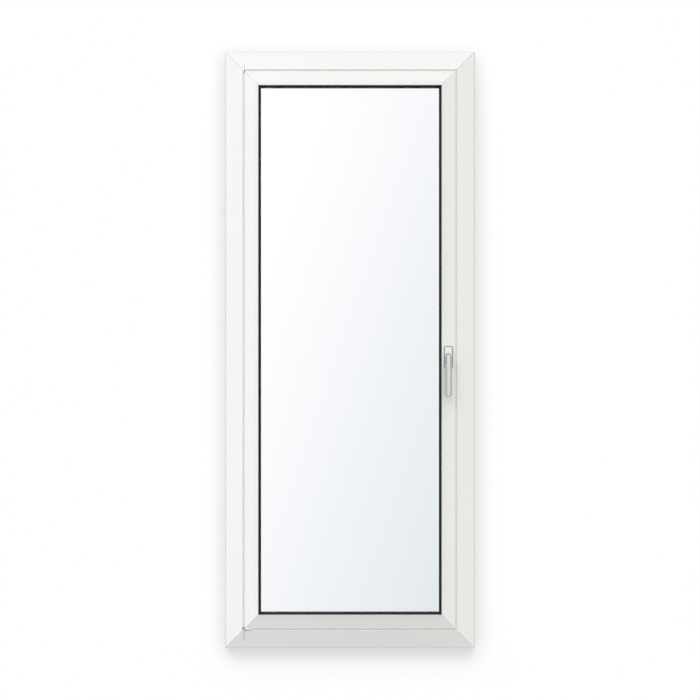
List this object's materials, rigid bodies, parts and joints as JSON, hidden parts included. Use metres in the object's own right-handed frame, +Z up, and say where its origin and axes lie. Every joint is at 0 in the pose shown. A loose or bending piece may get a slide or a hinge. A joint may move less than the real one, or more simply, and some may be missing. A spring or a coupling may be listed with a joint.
{
  "type": "tilt and turn french window",
  "caption": "White french window with one glazed leaf that turns inwards on a side hinge or tilts at the top, worked by a lever handle.",
  "frame": {"origin": "middle of the sill's flat underside, in the middle of the frame's depth", "axes": "+Z up, +X to the right as seen from the room, +Y outdoors; the room is on the -Y side"},
  "size_m": [0.9, 0.1378, 2.15],
  "materials": {
    "white_pvc": "satin extruded plastic",
    "black_rubber": "matt rubber",
    "grey_rubber": "matt rubber",
    "clear_glass": "clear float glass",
    "white_hinge": "satin powder coat",
    "grey_hinge": "satin powder coat",
    "zinc_steel": "zinc plated",
    "dark_plastic": "matt plastic",
    "grey_plastic": "matt plastic",
    "handle_white": "satin powder coat",
    "handle_grey": "satin powder coat"
  },
  "bodies": {
    "frame": {"frame_left_jamb": "white_pvc", "frame_right_jamb": "white_pvc", "frame_head": "white_pvc", "frame_sill": "white_pvc", "frame_seal": "black_rubber", "joint_seal": "grey_rubber", "lower_hinge_bracket": "grey_hinge", "upper_hinge_bracket": "white_hinge", "lock_keeps": "zinc_steel"},
    "hinge_swivel": {"hinge_swivel": "grey_hinge"},
    "sash": {"sash_left_stile": "white_pvc", "sash_right_stile": "white_pvc", "sash_top_rail": "white_pvc", "sash_bottom_rail": "white_pvc", "glazing_bead_left": "white_pvc", "glazing_bead_right": "white_pvc", "glazing_bead_top": "white_pvc", "glazing_bead_bottom": "white_pvc", "inner_glass_pane": "clear_glass", "outer_glass_pane": "clear_glass", "glass_spacer": "dark_plastic", "inner_glazing_seal": "black_rubber", "outer_glazing_seal": "black_rubber", "lock_rail_left": "zinc_steel", "lock_rail_right": "zinc_steel", "lock_rail_top": "zinc_steel", "lock_rail_bottom": "zinc_steel", "locking_cams": "zinc_steel", "lower_hinge_band": "grey_hinge", "handle_underlay": "dark_plastic", "handle_rosette": "handle_white", "handle_collar": "grey_plastic"},
    "handle": {"handle_lever": "handle_grey"},
    "stay": {"stay_arm": "zinc_steel", "stay_eye": "white_hinge"}
  },
  "joints": [
    {"name": "leaf_turn", "type": "hinge", "parent": "frame", "child": "hinge_swivel", "pos_m": [-0.384, -0.041, 0.066], "axis": [0, 0, -1], "range_deg": [0, 90]},
    {"name": "leaf_tilt", "type": "hinge", "parent": "hinge_swivel", "child": "sash", "pos_m": [-0.384, -0.041, 0.066], "axis": [1, 0, 0], "range_deg": [0, 4.27]},
    {"name": "stay_swing", "type": "hinge", "parent": "hinge_swivel", "child": "stay", "pos_m": [-0.384, -0.041, 2.0791], "axis": [0, 0, -1], "range_deg": [0, 25.43]},
    {"name": "handle_turn", "type": "hinge", "parent": "sash", "child": "handle", "pos_m": [0.3546, -0.041, 1.05], "axis": [0, 1, 0], "range_deg": [0, 180]}
  ],
  "couplings": [
    {"joint": "stay_swing", "follows": "leaf_tilt", "ratio": 5.943}
  ]
}
